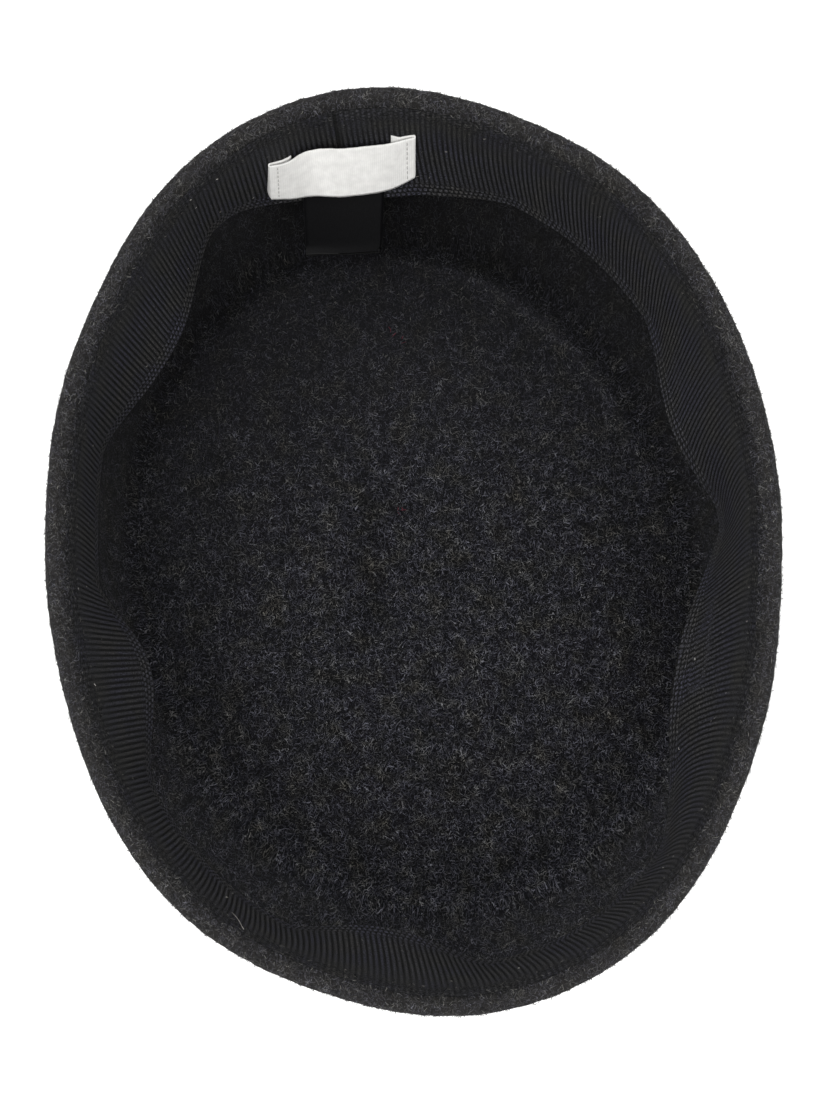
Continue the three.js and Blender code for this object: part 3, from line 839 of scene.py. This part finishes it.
# Painted shade in the grooves, painted highlights on the rib tops and beads, and painted shade between
# the warp threads. Near the sewn edge the grooves are painted lighter and the tops darker, as painted
# light against the shade of the sunk edge.
tones = {}
for name, share, sewn_tone, free_tone in [
    ("groove", "free", "#1c1c1e", "#010101"),
    ("top", "free", "#343436", "#404045"),
    ("selvedge", "bead", "#020203", "#4f4f54"),
]:
    tones[name] = add(grosgrain, "Mix", {0: shares[share], 6: srgb(sewn_tone), 7: srgb(free_tone)},
                      out=2, data_type="RGBA")
ribbon_colour = tones["groove"]
for share, tone in [("rib", tones["top"]), ("selvedge", tones["selvedge"]), ("warp_gap_shade", srgb("#060607"))]:
    ribbon_colour = add(grosgrain, "Mix", {0: shares[share], 6: ribbon_colour, 7: tone}, out=2,
                        data_type="RGBA")
grain = add(grosgrain, "TexNoise", {"Vector": mm_cloth, "Scale": SLUBS_PER_MM, "Detail": 3.0})
grain = add(grosgrain, "MapRange", {"Value": grain, "From Min": 0.33, "From Max": 0.67,
                                    "To Min": 0.0, "To Max": 1.7})
ribbon_colour = add(grosgrain, "VectorMath", {0: ribbon_colour, "Scale": grain}, operation="SCALE")
broad = add(grosgrain, "TexNoise", {"Vector": mm_cloth, "Scale": SHADES_PER_MM, "Detail": 2.0})
ribbon_tint = add(grosgrain, "ValToRGB", {0: broad}, stops={
    0.35: srgb("#e3e0d2"),
    0.5: srgb("#d8d8db"),
    0.65: srgb("#cfcfe4"),
})
ribbon_colour = add(grosgrain, "Mix", {0: 1.0, 6: ribbon_colour, 7: ribbon_tint}, out=2,
                    data_type="RGBA", blend_type="MULTIPLY")
# Painted shadow darkens the lapped end along its edge.
ribbon_colour = add(grosgrain, "Mix", {0: shares["painted_end_shade"], 6: ribbon_colour, 7: srgb("#020202")}, out=2,
                    data_type="RGBA")
thread = add(grosgrain, "Math", {0: warp, 1: slub}, operation="ADD")
finish_material(grosgrain, ribbon_colour, thread, 0.00009, 0.8)
sweatband.data.materials.append(grosgrain)
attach(sweatband, "root")
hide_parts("sweatband")


# ---------------------------------------------------------------------------------------------
# Sewing. A black spun polyester thread, worked by machine, zigzags along the ribbon's upper
# edge and holds it to the felt, dipping into the cloth at each turn.

ZIGZAG_PITCH = 3.56
ZIGZAG_LOW, ZIGZAG_HIGH = 3.0, 0.8  # down from the ribbon's upper edge
ZIGZAG_DIP = 0.45
ZIGZAG_STATIONS = 8
THREAD = 0.28


def closed_tube(rows, size):
    """Faces of a tube of so many rings of points, shut at both ends."""
    ends = [np.arange(size)[None, ::-1], (rows - 1) * size + np.arange(size)[None, :]]
    return [grid_faces(rows, size, closed_columns=True), *ends]


def cord(path, radius, sides=6):
    """Points and faces of a round thread along a path of points."""
    run = np.gradient(path, axis=0)
    run /= np.linalg.norm(run, axis=1)[:, None]
    up = np.broadcast_to(np.array([0.13, 0.21, 0.97]), run.shape)
    first = np.cross(run, up)
    first /= np.linalg.norm(first, axis=1)[:, None]
    second = np.cross(run, first)
    turn = np.arange(sides) * 2 * np.pi / sides
    radius = np.broadcast_to(radius, len(path))[:, None, None]
    points = path[:, None] + radius * (np.cos(turn)[None, :, None] * first[:, None]
                                       + np.sin(turn)[None, :, None] * second[:, None])
    return points.reshape(-1, 3), closed_tube(len(path), sides)


stitches = round(walked[-1] / ZIGZAG_PITCH)
stations = stitches * ZIGZAG_STATIONS
zig_along = np.linspace(0, walked[-1], stations + 1)
zig_phase = np.arange(stations + 1) / ZIGZAG_STATIONS
zig_share = np.abs((zig_phase % 1) * 2 - 1)
zig_down = ZIGZAG_HIGH + (ZIGZAG_LOW - ZIGZAG_HIGH) * zig_share
zig_bearing = np.interp(zig_along, walked, walk_bearing)
zig_climb = np.interp(zig_along, along, climb)
sink = ZIGZAG_DIP * np.abs(2 * zig_share - 1) ** 6
zig_off = zig_climb + RIBBON - SUNK * seat_share(zig_down) + 0.02 - sink
zig_path = on_band(pulled(zig_bearing, zig_down), zig_down, zig_off)
points, faces = cord(zig_path, THREAD / 2)
sewing = surface("zigzag_stitching", points, faces)

TWISTS_PER_M = 3500.0


def spun_thread(name, dark, pale, roughness, twist_depth):
    """The material of a spun polyester thread."""
    made = new_material(name, Roughness=roughness, Specular_IOR_Level=0.3)
    place = add(made, "TexCoord", {}, out="Object")
    twist = add(made, "TexNoise", {"Vector": place, "Scale": TWISTS_PER_M})
    tone = add(made, "ValToRGB", {0: twist}, stops={0.35: srgb(dark), 0.7: srgb(pale)})
    finish_material(made, tone, twist, twist_depth, 0.6)
    return made


# Polyester thread, spun and dyed black: a slight shine along its twist.
thread_black = spun_thread("polyester_thread_spun_black", "#0d0d0e", "#1d1d1f", 0.5, 0.00005)
sewing.data.materials.append(thread_black)
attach(sewing, "root")


# ---------------------------------------------------------------------------------------------
# Lint. Wool that the sewing drew over the ribbon's upper edge, pale bits at the stitches and here
# and there on the ribbon, reddish fibres in two places on the tip, and one long pale hair.

LINT_SCATTERED = 130
LINT_CLEAR = 8  # none this near the ribbon's ends
DRAWN_WOOL = 7000
DRAWN_SPREAD = 1.9  # how far down the ribbon it reaches
RED_FIBRES = [(4.5, 56.9), (-0.3, 15.5)]
RED_COUNT, RED_SPREAD = 4, 0.8
HAIR = [(-52.0, -75.6), (-49.2, -79.2)]
HAIR_THICK = 0.1

random = np.random.default_rng(31)
needle = np.arange(stitches) + 0.5
lint_along = random.uniform(LINT_CLEAR, walked[-1] - LINT_CLEAR, LINT_SCATTERED)
lint_along = np.concatenate([needle * walked[-1] / stitches, lint_along])
lint_down = random.uniform(1.5, 26, LINT_SCATTERED)
lint_down = np.concatenate([np.full(stitches, ZIGZAG_LOW + 0.1), lint_down])
lint_down = lint_down + random.normal(0, 0.15, len(lint_down))
lint_bearing = pulled(np.interp(lint_along, walked, walk_bearing), lint_down)
lint_off = np.interp(lint_along, along, climb) + RIBBON + 0.03
lint_roots = on_band(lint_bearing, lint_down, lint_off)
lint_normals = on_band(lint_bearing, lint_down, lint_off + 1) - lint_roots
points, faces, shade = strands(81, lint_roots, lint_normals, np.full(len(lint_roots), 1.1),
                               (0.4, 0.8), (0.2, 0.36), (0.1, 0.5), 1.3, (0.75, 0.98))

drawn_bearing = random.uniform(0, 360, DRAWN_WOOL)
drawn_down = np.abs(random.normal(0, DRAWN_SPREAD, DRAWN_WOOL)) - 0.4
drawn_off = RIBBON - SUNK * seat_share(drawn_down)
drawn_down = np.maximum(drawn_down, 0)
drawn_roots = on_band(drawn_bearing, drawn_down, drawn_off)
drawn_normals = on_band(drawn_bearing, drawn_down, 2.0) - on_band(drawn_bearing, drawn_down, 1.0)
drawn = strands(83, drawn_roots, drawn_normals, np.full(DRAWN_WOOL, 0.9),
                (0.4, 1.4), (0.07, 0.12), (0.1, 0.5), 1.2)

tip_top = inside[:TIP_ROWS, :, 2].mean() + 0.2
red_roots = np.repeat([(x, y, tip_top) for x, y in RED_FIBRES], RED_COUNT, axis=0)
red_roots[:, :2] += random.normal(0, RED_SPREAD, (len(red_roots), 2))
red_normals = np.tile([0.0, 0.0, 1.0], (len(red_roots), 1))
red_points, red_faces, red_shade = strands(82, red_roots, red_normals, np.full(len(red_roots), 1.0),
                                           (0.7, 1.4), (0.10, 0.16), (0.1, 0.3), 1.2, (1.0, 1.0))

hair_share = np.linspace(0, 1, 9)[:, None]
hair_bearing = np.degrees(np.arctan2(*np.array(HAIR).T[::-1])) % 360
hair_path = on_band(hair_bearing[0] + (hair_bearing[1] - hair_bearing[0]) * hair_share[:, 0],
                    6.5 - 7 * hair_share[:, 0], RIBBON + 0.25 + 0.3 * np.sin(3 * hair_share[:, 0]))
hair_points, hair_faces = cord(hair_path, HAIR_THICK / 2)
hair_shade = np.tile([0.97, 1.0], (len(hair_points), 1))

parts = [(points, [faces], shade), (red_points, [red_faces], red_shade),
         (drawn[0], [drawn[1]], drawn[2]), (hair_points, hair_faces, hair_shade)]
first = np.cumsum([0] + [len(part[0]) for part in parts])
lint = surface("loose_lint", np.concatenate([part[0] for part in parts]),
               [block + start for part, start in zip(parts, first) for block in part[1]],
               shade=np.concatenate([part[2] for part in parts]))
lint.data.materials.append(loose_wool)
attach(lint, "root")


# ---------------------------------------------------------------------------------------------
# Woven label. A strip of white taffeta, both ends folded under, sewn to the ribbon at the back
# by a row of stitches through each folded end, and bowed between them. It is left plain.

LABEL_BEARING = 92.7
WOVEN_LENGTH, WOVEN_HEIGHT = 34.8, 15
WOVEN_SIDE, WOVEN_SLANT = 1.1, -1  # how far it sits and leans to one side
WOVEN_FLAP, WOVEN_FLAP_DROP = 5.6, 0.1  # length folded under, how far it slips down
WOVEN_FLAP_RISE = 1.3  # how far the right one slips up instead
WOVEN_FRAY, WOVEN_FRAY_SIZE = 0.16, 0.9
FOLD_RADIUS = 0.32
WOVEN_EDGES = np.array([  # share of the length, upper edge down and off, lower edge down and off
    (0.00, 10.6, 0.0, 22.0, 1.8),
    (0.12, 11.3, 0.3, 23.5, 2.0),
    (0.25, 8.7, 0.6, 18.2, 5.6),
    (0.37, 8.1, 0.8, 15.8, 7.6),
    (0.50, 9.3, 0.9, 16.9, 7.6),
    (0.62, 9.8, 0.8, 18.3, 6.8),
    (0.75, 9.8, 0.6, 19.2, 5.8),
    (0.88, 9.3, 0.3, 21.3, 3.2),
    (1.00, 8.2, 0.0, 20.5, 1.8),
])
TAFFETA = 0.32  # thickness of the cloth
LABEL_GAP = 0.12
LAP_EASE = 1  # how much wider than the lap a label lies clear of it


def lap_lift(bearing):
    """How much the ribbon's lapped ends lift what lies over them."""
    away = np.abs(bearing - SEAM_BEARING) - LAP_BEARING / 2
    return LAP_STEP * (1 - smooth((away - LAP_EASE) / LAP_RISE_BEARING))


def on_label(across, down, off):
    """Points over the ribbon's inner face, by their distance across the labels' middle."""
    seat = on_band(LABEL_BEARING, down, 0.0)
    bearing = LABEL_BEARING - np.degrees(across / np.hypot(seat[..., 0], seat[..., 1]))
    return on_band(bearing, down, RIBBON + LABEL_GAP + lap_lift(bearing) + off)


def plane_normals(line):
    """The direction to the left of a line of points in a plane, at each of them."""
    run = np.gradient(line, axis=0)
    run /= np.linalg.norm(run, axis=1)[:, None]
    return np.stack([-run[:, 1], run[:, 0]], -1)


def arc(centre, radius, start, end, steps):
    angle = np.radians(np.linspace(start, end, steps))
    return np.stack([centre[0] + radius * np.cos(angle), centre[1] + radius * np.sin(angle)], -1)


def cloth_strip(name, line, thickness, columns, lay, width):
    """A strip of cloth whose section runs along a line in a plane. lay puts points of that
    plane in space, for each share of the strip's breadth."""
    share = np.linspace(0, 1, columns)[None, :]
    normal = plane_normals(line)
    under_line, over_line = (line + normal * side * thickness for side in (-0.5, 0.5))
    low = lay(under_line[:, :1], under_line[:, 1:], share, line[:, 1:])
    high = lay(over_line[:, :1], over_line[:, 1:], share, line[:, 1:])
    loops = np.concatenate([low, high[:, ::-1]], 1)
    faces = [block[:, ::-1] for block in closed_tube(*loops.shape[:2])]
    walked_line = np.concatenate([[0], np.cumsum(np.linalg.norm(np.diff(line, axis=0), axis=1))])
    across = np.concatenate([share, share[:, ::-1]], 1) * width
    uv = np.stack(np.broadcast_arrays(walked_line[:, None], across), -1) / 1000
    return surface(name, loops, faces, cloth=uv)


woven_half = WOVEN_LENGTH / 2
under = TAFFETA / 2
left = (FOLD_RADIUS - woven_half, under + FOLD_RADIUS)
right = (woven_half - FOLD_RADIUS, under + FOLD_RADIUS)
woven_line = np.concatenate([
    np.stack([np.linspace(WOVEN_FLAP - woven_half, left[0], 8)[:-1], np.full(7, under)], -1),
    arc(left, FOLD_RADIUS, 270, 90, 9),
    np.stack([np.linspace(left[0], right[0], 60)[1:-1],
              np.full(58, under + 2 * FOLD_RADIUS)], -1),
    arc(right, FOLD_RADIUS, 90, -90, 9),
    np.stack([np.linspace(right[0], woven_half - WOVEN_FLAP, 8)[1:], np.full(7, under)], -1),
])


def eased(x, table, column):
    """A column of a table at x, on a curve that passes smoothly through its rows."""
    slopes = np.gradient(table[:, column], table[:, 0])
    i = np.clip(np.searchsorted(table[:, 0], x, side="right") - 1, 0, len(table) - 2)
    wide = table[i + 1, 0] - table[i, 0]
    t = np.clip((x - table[i, 0]) / wide, 0, 1)
    low, high = table[i, column], table[i + 1, column]
    return (low * (1 + 2 * t) * (1 - t) ** 2 + slopes[i] * wide * t * (1 - t) ** 2
            + high * t ** 2 * (3 - 2 * t) + slopes[i + 1] * wide * t ** 2 * (t - 1))


def lay_woven(across, off, share, middle_off):
    over = smooth((middle_off - under) / (2 * FOLD_RADIUS))
    part = across / WOVEN_LENGTH + 0.5
    upper, upper_off, lower, lower_off = (eased(part, WOVEN_EDGES, k) for k in (1, 2, 3, 4))
    drop = WOVEN_FLAP_DROP - WOVEN_FLAP_RISE * smooth((part - 0.9) / -0.06) * (part > 0.5)
    down = upper + (lower - upper) * share + drop * (1 - over)
    bow = over * (upper_off + (lower_off - upper_off) * share)
    edge = np.stack(np.broadcast_arrays(across, 40 * share, 0.0), -1)
    frayed = ripple(edge, WOVEN_FRAY_SIZE, 2.2)
    down = down + WOVEN_FRAY * frayed * (np.abs(share - 0.5) > 0.49)
    return on_label(across + WOVEN_SIDE + WOVEN_SLANT * share, down, off + bow)


woven_label = cloth_strip("folded_woven_label", woven_line, TAFFETA, 26, lay_woven, WOVEN_HEIGHT)

# Polyester taffeta, heat-cut, white: a plain fine weave whose warp shows as faint upright
# lines. They are drawn coarser than the real ones, which are about 0.15 mm apart, to show.
TAFFETA_WARP, TAFFETA_WEFT = 0.5, 0.4
SOIL_PER_MM = 0.5
taffeta = new_material("polyester_taffeta_woven_white", Roughness=0.6, Specular_IOR_Level=0.35,
                       Sheen_Weight=0.1)
cloth = add(taffeta, "UVMap", {}, uv_map="cloth")
split = add(taffeta, "SeparateXYZ", {0: cloth}, out=None)
mm_cloth = add(taffeta, "VectorMath", {0: cloth, "Scale": 1000.0}, operation="SCALE")
upright = waves(taffeta, split["X"], TAFFETA_WARP / 1000)
level = waves(taffeta, split["Y"], TAFFETA_WEFT / 1000)
soil = add(taffeta, "TexNoise", {"Vector": mm_cloth, "Scale": SOIL_PER_MM, "Detail": 3.0})
white = add(taffeta, "ValToRGB", {0: soil}, stops={0.3: srgb("#dcdbd8"), 0.7: srgb("#eae9e6")})
seen_line = add(taffeta, "MapRange", {"Value": upright, "From Min": 0.0, "From Max": 0.5},
                interpolation_type="SMOOTHSTEP")
seen_line = add(taffeta, "Math", {0: seen_line, 1: 0.35, 2: 0.65}, operation="MULTIPLY_ADD")
white = add(taffeta, "Mix", {0: seen_line, 6: srgb("#c6c5c2"), 7: white}, out=2, data_type="RGBA")
weave = add(taffeta, "Math", {0: upright, 1: level}, operation="ADD")
finish_material(taffeta, white, weave, 0.00005, 0.6)
woven_label.data.materials.append(taffeta)
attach(woven_label, "root")
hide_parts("woven_label")


# ---------------------------------------------------------------------------------------------
# Label sewing. A grey polyester thread in a straight row of stitches through each folded end,
# set in from the fold.

END_STITCH_IN, END_STITCH = 1.9, 1.0  # set in from the fold, length of a stitch
STITCHES_PER_END = 8
END_THREAD = 0.24
END_DIP = 0.3

stitch_share = np.linspace(-0.5, 0.5, 7)
stitch_points, stitch_faces = [], []
stitch_first = 0
for end in (-1, 1):
    across = end * (woven_half - END_STITCH_IN)
    for number in range(STITCHES_PER_END):
        place = 0.1 + 0.8 * number / (STITCHES_PER_END - 1)
        share = place + stitch_share * END_STITCH / WOVEN_HEIGHT
        top = np.full_like(share, under + 2 * FOLD_RADIUS + TAFFETA / 2 + 0.05)
        dip = END_DIP * (2 * stitch_share) ** 6
        path = lay_woven(np.full_like(share, across), top - dip, share, 1 + 2 * FOLD_RADIUS)
        points, faces = cord(path, END_THREAD / 2)
        stitch_points.append(points)
        stitch_faces += [block + stitch_first for block in faces]
        stitch_first += len(points)
label_sewing = surface("label_end_stitches", np.concatenate(stitch_points), stitch_faces)

# Polyester thread, spun and left grey: soft and matt, with fine twist marks.
thread_grey = spun_thread("polyester_thread_spun_grey", "#a09f9c", "#c2c1be", 0.6, 0.00004)
label_sewing.data.materials.append(thread_grey)
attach(label_sewing, "root")


# ---------------------------------------------------------------------------------------------
# Size label. A small tag of black satin caught under the woven label, hanging past the
# ribbon's free edge. It is left plain.

TAG_WIDTH, TAG_SIDE = 18.8, 3.3
TAG_TOP, TAG_BEND = 13, 24  # down the ribbon to its hidden end, and to where it bends away
TAG_RADIUS, TAG_TURN, TAG_HANG = 8, 38, 12.6  # of the bend, and the length below it
TAG_SKEW = -13
SATIN = 0.28  # thickness of the cloth
tag_under = SATIN / 2
tag_arc = arc((TAG_BEND, tag_under + TAG_RADIUS), TAG_RADIUS, 270, 270 + TAG_TURN, 8)
tag_end = tag_arc[-1] + TAG_HANG * np.array([math.cos(math.radians(TAG_TURN)),
                                             math.sin(math.radians(TAG_TURN))])
tag_line = np.concatenate([
    np.stack([np.linspace(TAG_TOP, TAG_BEND, 14)[:-1], np.full(13, tag_under)], -1),
    tag_arc,
    np.linspace(tag_arc[-1], tag_end, 14)[1:],
])


def lay_tag(down, off, share, middle_off):
    across = TAG_SIDE + TAG_WIDTH * (0.5 - share) + math.tan(math.radians(TAG_SKEW)) * (down - TAG_TOP)
    return on_label(across, down + 0 * share, off)


tag_flat = TAG_BEND - TAG_TOP + math.radians(TAG_TURN) * TAG_RADIUS + TAG_HANG
size_label = cloth_strip("satin_size_tag", tag_line, SATIN, 22, lay_tag, TAG_WIDTH)

# Polyester satin, woven and dyed black: smooth floats that give a soft sheen, with a fine grain
# longer one way than the other.
FLOATS_PER_M = (1500, 2600, 1)
SATIN_END_SHADE_FROM, SATIN_END_SHADE_FULL = 1.2, 0.4  # from the lower end, where painted shade darkens it
satin = new_material("polyester_satin_woven_black", Roughness=0.5, Specular_IOR_Level=0.15,
                     Sheen_Weight=0.02, Sheen_Roughness=0.3)
cloth = add(satin, "UVMap", {}, uv_map="cloth")
mm_cloth = add(satin, "Mapping", {"Vector": cloth, "Scale": FLOATS_PER_M})
floats = add(satin, "TexNoise", {"Vector": mm_cloth, "Scale": 1.0, "Detail": 2.0})
satin_tone = add(satin, "ValToRGB", {0: floats}, stops={0.3: srgb("#020203"), 0.7: srgb("#09090b")})
# Painted shade darkens the tag towards its lower end.
painted_end_shade = add(satin, "SeparateXYZ", {0: cloth})
painted_end_shade = add(satin, "MapRange", {"Value": painted_end_shade, "From Min": (tag_flat - SATIN_END_SHADE_FROM) / 1000,
                              "From Max": (tag_flat - SATIN_END_SHADE_FULL) / 1000},
          interpolation_type="SMOOTHSTEP")
satin_tone = add(satin, "Mix", {0: painted_end_shade, 6: satin_tone, 7: srgb("#020202")}, out=2, data_type="RGBA")
finish_material(satin, satin_tone, floats, 0.00004, 0.6)
size_label.data.materials.append(satin)
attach(size_label, "root")
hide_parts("size_label")
